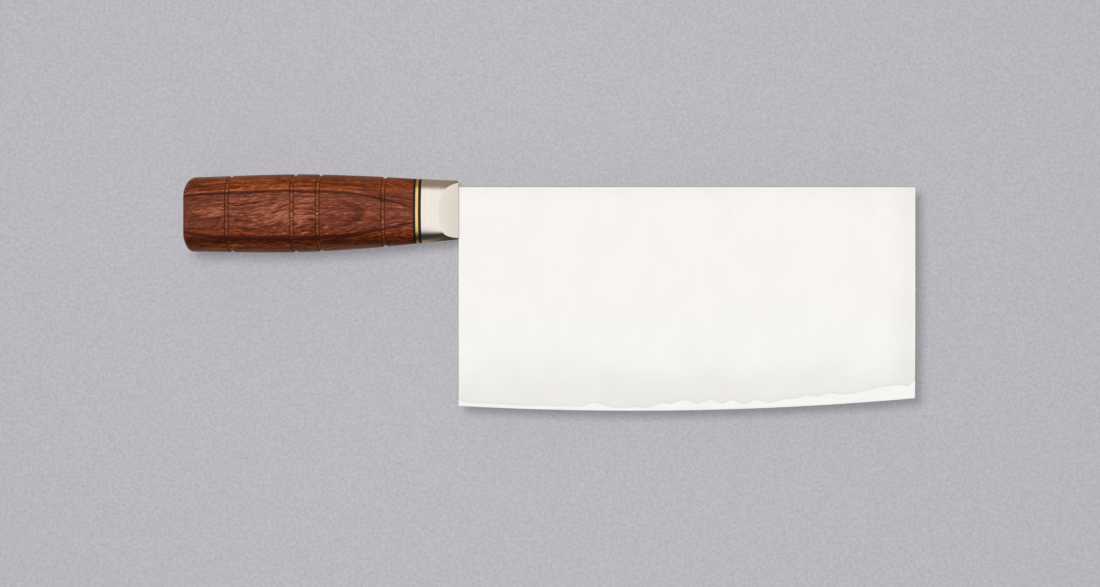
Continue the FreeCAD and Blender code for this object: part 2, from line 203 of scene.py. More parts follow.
class FinishColours(PropertyGroup):
    """Linear colours of the finishes."""
    # Cladding colours: the warm and cool pair is a painted reflection, and the haze colour is partly haze on
    # the steel and partly painted shade.
    cladding: colour("Cladding", "Satin cladding steel", (0.978, 0.953, 0.926))
    cladding_cool: colour("Cool cladding", "Cladding towards the edge", (0.966, 0.956, 0.942))
    cladding_low: colour("Cladding haze", "Cladding just above the core line", (0.863, 0.844, 0.810))
    core: colour("Core", "Bright core steel", (0.967, 0.957, 0.938))
    # The bolster's warm cast is partly the metal and partly a painted warm reflection.
    bolster: colour("Bolster", "Warm satin bolster steel", (0.915, 0.836, 0.757))
    brass: colour("Brass", "Brass spacer", (0.98, 0.66, 0.245))
    fibre: colour("Fibre", "Black fibre spacers", (0.007, 0.005, 0.003))
    # wood_body and wood_light carry a painted whitish sheen of the front face; wood_deep and wood_glow are the
    # same wood where it rounds off, without that sheen.
    wood_body: colour("Wood", "Body of the wood", (0.152, 0.032, 0.0135))
    wood_dark: colour("Dark wood", "Dark growth lines and pores", (0.048, 0.0066, 0.0018))
    wood_light: colour("Light wood", "Pale streaks", (0.40, 0.128, 0.066))
    wood_deep: colour("Deep wood", "Body of the wood at the rounded edges", (0.170, 0.029, 0.004))
    wood_glow: colour("Glowing wood", "Pale streaks at the rounded edges", (0.44, 0.105, 0.022))
    wax: colour("Wax", "Pale wax left in the grooves", (0.36, 0.22, 0.14))
    tang: colour("Tang", "Turned steel of nut, washer and rod", (0.56, 0.55, 0.53))
    bedding: colour("Bedding", "Hardened resin round the rod", (0.10, 0.085, 0.07))
    floor: colour("Floor", "Pale grey table", (0.492, 0.482, 0.513))
    room: colour("Room", "The dim, warm room that steel mirrors below the white ceiling",
                 (0.302, 0.252, 0.202))


class StageSizes(PropertyGroup):
    """Camera and light."""
    camera: lengths("Camera", "Place of the camera", (40.0, -35.92, 690))
    lens: FloatProperty(name="Lens", description="Focal length", default=51.5, unit="CAMERA")
    key: lengths("Key light", "Place of the key light", (-92, 108, 650))
    key_aim: lengths("Key aim", "Point that the key light faces", (100, -90, 0))
    key_width: length("Key width", "Width of the key light", 250)
    fill: share("Fill", "Strength of the even light from all round", 0.15)
    card: share("Cards", "Strength of the reflector cards beside spine and edge", 0.45)
    floor_size: length("Floor size", "Side of the floor", 8000)


class Value:
    """A shader socket that takes part in sums: every operator adds one Math node."""

    def __init__(self, tree, socket=None):
        self.tree = tree
        self.socket = socket

    def node(self, kind, settings=None, sockets=None, output=0):
        """Adds any other node: its settings first, then the values or links of its sockets."""
        made = self.tree.nodes.new(kind)
        for name, setting in (settings or {}).items():
            setattr(made, name, setting)
        for name, value in (sockets or {}).items():
            if isinstance(value, Value):
                self.tree.links.new(value.socket, made.inputs[name])
            else:
                made.inputs[name].default_value = value
        return Value(self.tree, made.outputs[output])

    def math(self, operation, first, second=0.0):
        """Adds one Math node."""
        return self.node("ShaderNodeMath", {"operation": operation}, {0: first, 1: second})

    def __add__(self, other):
        return self.math("ADD", self, other)

    def __sub__(self, other):
        return self.math("SUBTRACT", self, other)

    def __mul__(self, other):
        return self.math("MULTIPLY", self, other)

    def __truediv__(self, other):
        return self.math("DIVIDE", self, other)

    def __pow__(self, other):
        return self.math("POWER", self, other)

    def __rsub__(self, other):
        return self.math("SUBTRACT", other, self)

    __radd__ = __add__
    __rmul__ = __mul__

    def __abs__(self):
        return self.math("ABSOLUTE", self)

    def ramp(self, low, high, start=0.0, end=1.0):
        """Eases from start to end while this value goes from low to high."""
        return self.node("ShaderNodeMapRange", {"interpolation_type": "SMOOTHSTEP"},
                         {0: self, 1: low, 2: high, 3: start, 4: end})

    def mix(self, first, second):
        """From the first colour to the second as this value goes from 0 to 1."""
        first, second = (c if isinstance(c, Value) else (*c, 1.0) for c in (first, second))
        return self.node("ShaderNodeMix", {"data_type": "RGBA"}, {0: self, 6: first, 7: second}, 2)

    def rays(self):
        """Whether a ray comes from the camera, and whether it comes from a mirroring surface."""
        kinds = self.node("ShaderNodeLightPath").socket.node.outputs
        return [Value(self.tree, kinds[name]) for name in ("Is Camera Ray", "Is Glossy Ray")]

    def xyz(self):
        """The three parts of a vector."""
        split = self.node("ShaderNodeSeparateXYZ", None, {0: self})
        return [Value(self.tree, socket) for socket in split.socket.node.outputs]

    def noise(self, stretch, detail=2.0, roughness=0.5):
        """Noise over this place, with so many waves to a metre along each axis."""
        stretched = self.node("ShaderNodeVectorMath", {"operation": "MULTIPLY"}, {0: self, 1: stretch})
        return self.node("ShaderNodeTexNoise", None,
                         {"Vector": stretched, "Scale": 1.0, "Detail": detail, "Roughness": roughness})

    def bump(self, height, depth, strength=1.0):
        """A surface normal disturbed by a height field of that depth in metres."""
        return self.node("ShaderNodeBump", None, {"Height": height, "Distance": depth, "Strength": strength})


def scaled(value, factor):
    """A darker or lighter shade of a colour."""
    return tuple(part * factor for part in value)


def finish(name, paint):
    """A material from a function that gives the shader's sockets for a place on the object."""
    material = bpy.data.materials.new(name)
    material.use_nodes = True
    tree = material.node_tree
    place = Value(tree).node("ShaderNodeTexCoord", None, None, 3)
    shader = tree.nodes["Principled BSDF"]
    for socket, value in paint(place).items():
        if isinstance(value, Value):
            tree.links.new(value.socket, shader.inputs[socket])
        else:
            shader.inputs[socket].default_value = value
    return material


def cladding_finish(colours, blade):
    """Satin steel, ground across the blade, with a haze that deepens towards the core line, partly painted
    shade of the convex grind, and a painted warm reflection towards the spine.
    """
    def paint(place):
        x, y, _ = place.xyz()
        streak = place.noise((1500, 26, 40), 3, 0.6)
        broad = place.noise((160, 14, 30), 2)
        cloud = place.noise((14, 17, 20), 3)
        patch = place.noise((48, 40, 40), 3, 0.6)
        # Darker towards the core line: partly haze, partly painted shade of the convex grind. Also darker near
        # spine and tip, a painted highlight along the heel and tip ends, and random patches and streaks.
        low = (y - blade.edge_low).ramp(4 * MM, 34 * MM, 1, 0) ** 1.6 * (0.72 + 0.5 * cloud)
        top = (y - blade.spine).ramp(-9 * MM, 0, 0, 0.34)
        tip = (x - blade.tip).ramp(-14 * MM, -1 * MM, 0, 0.6)
        ends = (abs(x - blade.tip / 2) - blade.tip / 2).ramp(-0.9 * MM, -0.5 * MM, 0, 0.5)
        tone_and_painted_shade = (low + top + tip - ends + (patch - 0.5) * 1.15 + (broad - 0.5) * 0.3
                + (streak - 0.5) * 0.2).ramp(-0.46, 1.32)
        # Painted warm reflection: warmer towards the spine, cooler towards the edge.
        warm = (y + cloud * 0.05).ramp(-55 * MM, 12 * MM)
        body = warm.mix(colours.cladding_cool, colours.cladding)
        return {
            "Base Color": tone_and_painted_shade.mix(body, colours.cladding_low),
            "Metallic": 1.0,
            "Roughness": 0.25 + 0.08 * streak + 0.05 * cloud,
            "Normal": place.bump(streak, 0.004 * MM, 0.5),
        }
    return finish("satin_cladding_steel", paint)


def core_finish(colours):
    """The hard core, bright and finely polished."""
    def paint(place):
        streak = place.noise((60, 900, 60), 3, 0.6)
        cloud = place.noise((60, 60, 60), 2)
        shade = (streak * 0.6 + cloud * 0.5).ramp(0.3, 0.85)
        return {
            "Base Color": shade.mix(scaled(colours.core, 0.94), colours.core),
            "Metallic": 1.0,
            "Roughness": 0.16 + 0.10 * streak,
            "Normal": place.bump(streak, 0.003 * MM, 0.4),
        }
    return finish("bright_core_steel", paint)


def bolster_finish(colours, bolster):
    """Satin steel with a warm cast, partly a painted reflection, ground round the bolster, with painted shade
    that darkens the scoop towards the blade.
    """
    def paint(place):
        streak = place.noise((1100, 30, 30), 3, 0.6)
        cloud = place.noise((120, 90, 90), 2)
        shade = (streak * 0.5 + cloud * 0.5).ramp(0.25, 0.8)
        bright = shade.mix(scaled(colours.bolster, 0.93), colours.bolster)
        # Painted shade: the colour grows darker across the scoop towards the blade.
        tone_and_painted_shade = shade.mix(scaled(colours.bolster, 0.78), scaled(colours.bolster, 0.84))
        return {
            "Base Color": place.xyz()[0].ramp(-bolster.scoop_length, 0).mix(bright, tone_and_painted_shade),
            "Metallic": 1.0,
            "Roughness": 0.14 + 0.08 * streak,
            "Normal": place.bump(streak, 0.004 * MM, 0.4),
        }
    return finish("satin_bolster_steel", paint)


def brass_finish(colours):
    """Sanded brass with fine scratches."""
    def paint(place):
        scratch = place.noise((2600, 160, 160), 2, 0.6)
        return {
            "Base Color": scratch.ramp(0.3, 0.7).mix(scaled(colours.brass, 0.85), colours.brass),
            "Metallic": 1.0,
            "Roughness": 0.22 + 0.12 * scratch,
        }
    return finish("sanded_brass", paint)


def fibre_finish(colours):
    """Black vulcanised fibre, sanded flush."""
    def paint(place):
        fleck = place.noise((2400, 700, 700), 2)
        return {
            "Base Color": fleck.ramp(0.35, 0.7).mix(colours.fibre, scaled(colours.fibre, 1.7)),
            "Roughness": 0.32 + 0.15 * fleck,
            "Specular IOR Level": 0.28,
        }
    return finish("black_fibre", paint)


def wood_finish(colours, handle):
    """Dark red-brown hardwood, its grain in long nested spindles that close towards the bolster."""
    def paint(place):
        x, y, z = place.xyz()
        height = y + handle.figure

        # Heights across the grain, which draws together towards both ends and slants in the middle
        warp = place.noise((16, 80, 80), 2)
        run = (x + 78 * MM) / (64 * MM)
        inner = abs(height).ramp(5 * MM, 11 * MM, 1, 0.15)
        sway = (place.noise((60, 220, 220), 2) - 0.5) * inner
        bow = (1 - (z / (9 * MM)) ** 2).ramp(0, 1, 0, 4 * MM)
        across = height + (warp - 0.5) * 2.6 * MM + sway * 0.9 * MM + bow
        spindle = across / (1 - run ** 2 * 0.35 - run ** 4 * 0.6)
        slant = x.ramp(-92 * MM, -64 * MM, 0, 4.5 * MM) + x.ramp(-118 * MM, -100 * MM, 0, 2 * MM)
        flame = y.ramp(2 * MM, 11 * MM, 1, 0.15) * y.ramp(-17 * MM, -2 * MM, 0.15, 1)
        level = across / (1 - run ** 2 * 0.35 - run ** 4 * 0.15) - slant * flame

        # Grain from fine to broad, clearest in the middle
        depth = (z + x.ramp(-42 * MM, -14 * MM, 0, 6 * MM)) * 0.8
        grain = place.node("ShaderNodeCombineXYZ", None, {0: x, 1: level, 2: depth})
        fine = grain.noise((110, 1900, 1900), 3, 0.7)
        hair = grain.noise((380, 2600, 2600), 2, 0.6)
        streak = grain.noise((34, 620, 620), 3, 0.6)
        growth = grain.noise((8, 190, 190), 2)
        cloud = grain.noise((36, 110, 110), 2)
        clear = x.ramp(-106 * MM, -92 * MM, 0.76, 1) * x.ramp(-62 * MM, -54 * MM, 1, 0.78)
        pores = (0.40 - place.noise((380, 2600, 2600), 2, 0.6)).ramp(0, 0.1)

        def line(level_mm, width_mm):
            """A growth line along the spindle."""
            return abs(spindle - level_mm * MM).ramp(0.12 * width_mm * MM, width_mm * MM, 1, 0)

        def oval(x_mm, y_mm, wide_mm, tall_mm):
            """The distance from the middle of an oval, 1 on its border."""
            sideways = (x - x_mm * MM) / (wide_mm * MM)
            upright = (y - y_mm * MM) / (tall_mm * MM)
            return (sideways * sideways + upright * upright) ** 0.5

        # Dark growth lines, a darker band along the lower rounding, a knot and pale flecks
        knot = abs(oval(-60, -1.6, 18, 6) - 1).ramp(0.04, 0.2, 1, 0) * x.ramp(-54 * MM, -47 * MM)
        rim = y.ramp(-15 * MM, -14 * MM) * y.ramp(-11.8 * MM, -10.6 * MM, 1, 0)
        dark = (line(9.4, 1.0) * 1.9 + line(13.8, 0.6) * 0.6 + line(-10.4, 1.3) * 2.0 + line(-15.4, 0.6) * 0.6
                + rim * 0.9 + knot) * (0.1 + 0.4 * streak)
        pale = (oval(-77, -2.5, 16, 5).ramp(0, 1, 0.4, 0) + oval(-106, -1.5, 9, 3).ramp(0, 1, 0.4, 0)
                + oval(-67, -1.0, 5, 7).ramp(0, 1, 0.3, 0)
                + line(10.7, 0.75) * x.ramp(-48 * MM, -36 * MM, 0.45, 0)) * (0.1 + streak)
        # The tone drops a little towards the collar: painted shade where the handle narrows.
        tone = (0.50 + ((fine - 0.5) * 1.9 + (hair - 0.5) * 2.0) * clear + (streak - 0.5) * 0.8
                + (growth - 0.5) * 0.55 + (cloud - 0.5) * 0.45 + pale - dark
                - pores * 0.16 - x.ramp(-33 * MM, -24 * MM, 0, 0.02)
                - x.ramp(-106 * MM, -98 * MM, 0.05, 0) - x.ramp(-62 * MM, -54 * MM, 0, 0.03))

        # A deeper, more saturated colour where top and bottom round off; the front's colours carry a painted
        # whitish sheen that these lack
        sheenless_edges = y.ramp(5.9 * MM, 10.4 * MM) + y.ramp(-10 * MM, -7 * MM, 1, 0)
        ground = sheenless_edges.mix(colours.wood_body, colours.wood_deep)
        body = tone.ramp(0.05, 0.5).mix(colours.wood_dark, ground)
        glow = sheenless_edges.mix(colours.wood_light, colours.wood_glow)
        wood = tone.ramp(0.48, 1.0).mix(body, glow)

        # Groove walls darkened, partly burn marks and partly painted shade in the recess, heavier on the wall
        # that faces the light and less on the top; a trace of wax on their floors
        wall_burn_and_shade = wax = 0.0
        for along in handle.grooves:
            off = x - (WOOD_LOW.x + along * (WOOD_HIGH.x - WOOD_LOW.x))
            away = abs(off)
            wall_burn_and_shade = wall_burn_and_shade + (away.ramp(0.5 * MM, 0.65 * MM) * away.ramp(0.9 * MM, 1.1 * MM, 1, 0)
                           * off.ramp(-0.5 * MM, 0.5 * MM, 0.6, 0.95))
            wax = wax + away.ramp(0.3 * MM, 0.55 * MM, 1, 0)
        wall_burn_and_shade = wall_burn_and_shade * y.ramp(9 * MM, 14 * MM, 1, 0.5)
        wax = wax * place.noise((500, 900, 900), 2).ramp(0.5, 0.8) * 0.3
        return {
            "Base Color": wax.mix(wall_burn_and_shade.mix(wood, colours.wood_dark), colours.wax),
            "Roughness": 0.22 + 0.14 * fine + wall_burn_and_shade * 0.4,
            "Specular IOR Level": 0.16,
            "Normal": place.bump(fine * 0.6 - pores, 0.03 * MM, 0.6),
        }
    return finish("dark_handle_wood", paint)


def tang_finish(colours):
    """Plain turned steel with fine rings about the rod's axis."""
    def paint(place):
        _, y, z = place.xyz()
        radius = (y * y + z * z) ** 0.5
        rings = place.node("ShaderNodeTexNoise", {"noise_dimensions": "1D"},
                           {"W": radius * 5200, "Scale": 1.0, "Detail": 2.0})
        stain = place.noise((260, 260, 260), 3)
        shade = (rings * 0.6 + stain * 0.5).ramp(0.25, 0.85)
        return {
            "Base Color": shade.mix(scaled(colours.tang, 0.72), colours.tang),
            "Metallic": 1.0,
            "Roughness": 0.26 + 0.16 * stain,
            "Normal": place.bump(rings, 0.01 * MM, 0.5),
        }
    return finish("turned_steel", paint)


def bedding_finish(colours):
    """Hardened resin in the bore."""
    def paint(place):
        cloud = place.noise((300, 300, 300), 3)
        return {
            "Base Color": cloud.ramp(0.3, 0.7).mix(scaled(colours.bedding, 0.7), colours.bedding),
            "Roughness": 0.5 + 0.2 * cloud,
        }
    return finish("bedding_resin", paint)


def through(places, values, x):
    """The smooth curve through values at places, at x."""
    last = len(places) - 1
    i = 0
    while i < last - 1 and x > places[i + 1]:
        i += 1

    def slope(k):
        a, b = max(k - 1, 0), min(k + 1, last)
        return (values[b] - values[a]) / (places[b] - places[a])

    run = places[i + 1] - places[i]
    t = (x - places[i]) / run
    rise = values[i + 1] - values[i]
    start, end = slope(i) * run, slope(i + 1) * run
    return values[i] + t * (start + t * (3 * rise - 2 * start - end + t * (start + end - 2 * rise)))


def spread(low, high, steps):
    """Even places from low to high, both included."""
    return [low + (high - low) * i / steps for i in range(steps + 1)]


def piece(name, rings, caps, material, node, sharp=30.0):
    """Makes a finished piece from rings of points; the first and last ring are capped or else joined."""
    shape = bmesh.new()
    rows = [[shape.verts.new(point) for point in ring] for ring in rings]
    pairs = list(zip(rows, rows[1:])) + ([] if caps else [(rows[-1], rows[0])])
    for low, high in pairs:
        for i in range(len(low)):
            shape.faces.new((low[i - 1], low[i], high[i], high[i - 1]))
    if caps:
        shape.faces.new(rows[0])
        shape.faces.new(rows[-1])
    bmesh.ops.remove_doubles(shape, verts=shape.verts, dist=WELD)
    bmesh.ops.dissolve_degenerate(shape, edges=shape.edges, dist=WELD)
    bmesh.ops.recalc_face_normals(shape, faces=shape.faces)
    mesh = bpy.data.meshes.new(name)
    shape.to_mesh(mesh)
    shape.free()
    for face in mesh.polygons:
        face.use_smooth = True
    mesh.set_sharp_from_angle(angle=math.radians(sharp))
    mesh.materials.append(material)
    made = bpy.data.objects.new(name, mesh)
    bpy.context.collection.objects.link(made)
    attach(made, "root")
    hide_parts(node)


class BladeForm:
    """Heights and thicknesses of the blade, measured from its curved edge."""

    def __init__(self, sizes):
        self.sizes = sizes
        self.centre_x = sizes.edge_low_place * sizes.tip
        self.centre_y = sizes.edge_low + sizes.edge_radius

    def y_at(self, x, height):
        """The level of a height above the edge."""
        return self.centre_y - math.sqrt((self.sizes.edge_radius - height) ** 2 - (x - self.centre_x) ** 2)

    def height_at(self, x, y):
        """The height of a level above the edge."""
        return self.sizes.edge_radius - math.hypot(x - self.centre_x, y - self.centre_y)

    def half(self, height):
        """Half the blade's thickness: flat, then a convex grind, then the bevel."""
        s = self.sizes
        if height >= s.grind_height:
            return s.thickness / 2
        if height < s.bevel_height:
            return (s.land + (s.bevel_thickness - s.land) * height / s.bevel_height) / 2
        run, drop = s.grind_height - s.bevel_height, (s.thickness - s.bevel_thickness) / 2
        radius = (run ** 2 + drop ** 2) / (2 * drop)
        return s.thickness / 2 - radius + math.sqrt(radius ** 2 - (s.grind_height - height) ** 2)

    def core_half(self, height):
        """Half the thickness of the core plate under the claddings."""
        return min(self.sizes.core / 2, self.half(height))

    def core_line(self, x):
        """How high above the edge the claddings end."""
        places, shown = zip(*CORE_LINE)
        return self.sizes.bevel_height + self.sizes.core_band * through(places, shown, x / self.sizes.tip)

    def top(self, x):
        """The spine's level, rounded off at the tip."""
        s = self.sizes
        past = max(0.0, x - s.tip + s.tip_radius)
        return s.spine - s.tip_radius + math.sqrt(max(0.0, s.tip_radius ** 2 - past ** 2))

    def eased(self, x):
        """How much a face draws in near heel and tip."""
        s = self.sizes
        short = max(0.0, s.end_easing - min(x, s.tip - x))
        return s.end_easing - math.sqrt(s.end_easing ** 2 - short ** 2)

    def stations(self):
        """Places along the blade, closer together where heel and tip are rounded."""
        s = self.sizes
        turns = [math.radians(angle) for angle in range(15, 105, 15)]
        heel = [s.end_easing * (1 - math.sin(turn)) for turn in turns[::-1]]
        tip = [s.tip - s.tip_radius * (1 - math.sin(turn)) for turn in turns]
        fine = [s.tip - s.end_easing * (1 - math.sin(turn)) for turn in turns[:-1]]
        middle = spread(s.end_easing, s.tip - s.tip_radius, BLADE_STEPS)
        return sorted(set(heel + middle + tip + fine))


class CLEAVER_OT_claddings(Operator):
    """Builds the front and back claddings with their rounded lower border and eased spine"""
    bl_idname = "cleaver.claddings"
    bl_label = "Claddings"

    def execute(self, context):
        sizes = context.scene.cleaver_blade
        form = BladeForm(sizes)
        steel = cladding_finish(context.scene.cleaver_colours, sizes)
        stations = form.stations()
        for name, node, side in (("front_cladding_steel", "front_cladding", 1),
                                 ("back_cladding_steel", "back_cladding", -1)):
            rings = [self.outline(form, x, side) for x in stations]
            piece(name, rings, True, steel, node)
        return {"FINISHED"}

    @staticmethod
    def outline(form, x, side):
        """The cladding's outline across the blade: lip, face, eased spine and the inner face on the core."""
        s = form.sizes
        foot = form.core_line(x)
        head = form.height_at(x, form.top(x))
        drawn = form.eased(x)
        points = [(foot, form.core_half(foot))]
        for turn in (0, 30, 60):
            angle = math.radians(turn)
            rise = s.lip * (1 - math.cos(angle))
            points.append((foot + rise, form.half(foot + rise) - s.lip * (1 - math.sin(angle)) - drawn))
        for height in spread(foot + s.lip, head - s.spine_easing, FACE_STEPS):
            points.append((height, form.half(height) - drawn))
        for turn in (30, 60, 90):
            angle = math.radians(turn)
            points.append((head - s.spine_easing * (1 - math.sin(angle)),
                           s.thickness / 2 - s.spine_easing * (1 - math.cos(angle)) - drawn))
        for height in spread(head, foot, INNER_STEPS)[:-1]:
            points.append((height, form.core_half(height)))
        return [Vector((x, form.y_at(x, height), side * max(half, form.core_half(height))))
                for height, half in points]


class CLEAVER_OT_core(Operator):
    """Builds the hard core: a plate between the claddings and the bare band with its bevelled edge"""
    bl_idname = "cleaver.core"
    bl_label = "Core"

    def execute(self, context):
        form = BladeForm(context.scene.cleaver_blade)
        steel = core_finish(context.scene.cleaver_colours)
        rings = [self.outline(form, x) for x in form.stations()]
        piece("core_steel_plate", rings, True, steel, "blade_core")
        return {"FINISHED"}

    @staticmethod
    def outline(form, x):
        """The core's outline across the blade: edge, bevel, band, then the plate to the spine and back."""
        s = form.sizes
        line = form.core_line(x)
        head = form.height_at(x, form.top(x))
        drawn = min(form.eased(x), s.land / 3)
        front = [(0.0, s.land / 2)]
        front += [(height, form.half(height) - drawn) for height in spread(s.bevel_height, line, BAND_STEPS)]
        front += [(height, form.core_half(height)) for height in spread(line, head, PLATE_STEPS)]
        loop = front + [(height, -half) for height, half in reversed(front)]
        return [Vector((x, form.y_at(x, height), half)) for height, half in loop]


class HandleForm:
    """The outline that wood, spacers and bolster share."""

    def __init__(self, sizes):
        self.sizes = sizes
        butt = WOOD_LOW.x
        self.places = (butt, butt - sizes.belly * butt, butt - sizes.shoulder * butt, WOOD_HIGH.x, 0.0)

    def ring(self, x, inset=0.0, lower_inset=None):
        """Points (y, z) of the outline at x, drawn in by an inset, from the front over the top and round."""
        s = self.sizes
        top, bottom, thickness, oval, lower_oval = (
            through(self.places, values, x)
            for values in (s.tops, s.bottoms, s.thicknesses, s.ovals, s.lower_ovals))
        half = thickness / 2 - inset

        def quarter(end, bulges, corners):
            """A quarter with a flat side, from the axis up to the end."""
            bulge, corner = (through(self.places, values, x) * half for values in (bulges, corners))
            radius = (half ** 2 + bulge ** 2) / (2 * bulge)
            reach = math.sqrt((radius - corner) ** 2 - (half - corner) ** 2)
            lean = math.atan2(half - corner, reach)
            centre = end - radius
            flat = centre + reach
            points = [(flat * i / FLAT_STEPS, half) for i in range(FLAT_STEPS)]
            for i in range(CORNER_STEPS):
                turn = math.pi / 2 + (lean - math.pi / 2) * i / CORNER_STEPS
                points.append((flat + corner * math.cos(turn), half - corner + corner * math.sin(turn)))
            for i in range(SIDE_STEPS + 1):
                turn = lean * (1 - i / SIDE_STEPS)
                points.append((centre + radius * math.cos(turn), radius * math.sin(turn)))
            return points

        def rounded(end, bulges, corners, amount):
            """The same quarter, drawn by an amount towards an oval."""
            part = min(1.0, max(0.0, amount))
            points = []
            for y, z in quarter(end, bulges, corners):
                arch = half * math.sqrt(max(0.0, 1 - (y / end) ** 2))
                points.append((y, z + (min(z, arch) - z) * part))
            return points

        below = inset if lower_inset is None else lower_inset
        upper = rounded(top - inset, s.bulges, s.corners, oval)
        lower = rounded(bottom - below, s.lower_bulges, s.lower_corners, lower_oval)
        return (upper + [(y, -z) for y, z in reversed(upper[:-1])]
                + [(-y, -z) for y, z in lower[1:]] + [(-y, z) for y, z in reversed(lower[1:-1])])

    def ring_at(self, x, *insets):
        """The outline's points in space."""
        return [Vector((x, y, z)) for y, z in self.ring(x, *insets)]

    def circle_at(self, x, radius):
        """A round hole's points, one for each point of the outline."""
        angles = [math.atan2(z, y) for y, z in self.ring(x)]
        return [Vector((x, radius * math.cos(angle), radius * math.sin(angle))) for angle in angles]


class CLEAVER_OT_handle(Operator):
    """Builds the wooden handle with its turned grooves, rounded butt and bores"""
    bl_idname = "cleaver.handle"
    bl_label = "Handle"

    def execute(self, context):
        sizes = context.scene.cleaver_handle
        form = HandleForm(sizes)
        butt, front = WOOD_LOW.x, WOOD_HIGH.x
        seat = butt + sizes.seat_depth
        rings = [form.circle_at(front, sizes.bore), form.circle_at(seat + sizes.web, sizes.bore),
                 form.circle_at(seat + sizes.web, sizes.thread_hole), form.circle_at(seat, sizes.thread_hole),
                 form.circle_at(seat, sizes.counterbore),
                 form.circle_at(butt + sizes.seat_easing, sizes.counterbore),
                 form.circle_at(butt, sizes.counterbore + sizes.seat_easing)]
        rings += [form.ring_at(*place) for place in self.profile(sizes, butt, front)]
        wood = wood_finish(context.scene.cleaver_colours, sizes)
        piece("grooved_wood_handle", rings, False, wood, "handle", 40)
        return {"FINISHED"}

    @staticmethod
    def profile(sizes, butt, front):
        """Places along the wood, with the insets there: rim, grooves and the plain stretches between."""
        rim = butt + sizes.butt_rounding
        places = []
        for i in range(RIM_STEPS):
            turn = math.pi / 2 * (1 - i / RIM_STEPS)
            x = rim - sizes.butt_rounding * math.sin(turn)
            short = max(0.0, butt + sizes.lower_rounding - x)
            places.append((x, sizes.butt_rounding * (1 - math.cos(turn)),
                           sizes.lower_rounding - math.sqrt(sizes.lower_rounding ** 2 - short ** 2)))
        wide, narrow, deep = sizes.groove_width / 2, sizes.groove_floor / 2, sizes.groove_depth
        ease = sizes.groove_easing
        groove = [(wide + ease, 0.0), (wide, 0.23 * ease), (wide - 0.67 * ease, 0.87 * ease),
                  (narrow + 0.53 * ease, deep - 0.53 * ease), (narrow - 0.4 * ease, deep),
                  (0.0, deep - 0.33 * ease)]
        start = rim
        for along in sizes.grooves:
            middle = butt + along * (front - butt)
            end = middle - groove[0][0]
            places += [(x, 0.0) for x in spread(start, end, round((end - start) / RING_SPACING))[:-1]]
            places += [(middle - away, depth) for away, depth in groove]
            places += [(middle + away, depth) for away, depth in reversed(groove[:-1])]
            start = middle + groove[0][0] + 2 * ease
        return places + [(x, 0.0) for x in spread(start, front, round((front - start) / FRONT_SPACING))]


class CLEAVER_OT_spacers(Operator):
    """Builds the three flush spacer rings: black, brass, black"""
    bl_idname = "cleaver.spacers"
    bl_label = "Spacers"

    def execute(self, context):
        form = HandleForm(context.scene.cleaver_handle)
        ease = form.sizes.spacer_easing
        bore = context.scene.cleaver_bolster.bore
        colours = context.scene.cleaver_colours
        fibre, brass = fibre_finish(colours), brass_finish(colours)
        rows = (("front_fibre_ring", "front_black_spacer", "black_fibre", fibre),
                ("brass_ring", "brass_spacer", "brass", brass),
                ("rear_fibre_ring", "rear_black_spacer", "black_fibre", fibre))
        for name, node, slot, material in rows:
            low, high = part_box(node)
            rings = [form.circle_at(high.x, bore), form.circle_at(low.x, bore), form.ring_at(low.x, ease),
                     form.ring_at(low.x + ease)]
            rings += [form.ring_at(x) for x in spread(low.x + ease, high.x - ease, 3)[1:]]
            rings.append(form.ring_at(high.x, ease))
            piece(name, rings, False, material, node)
        return {"FINISHED"}


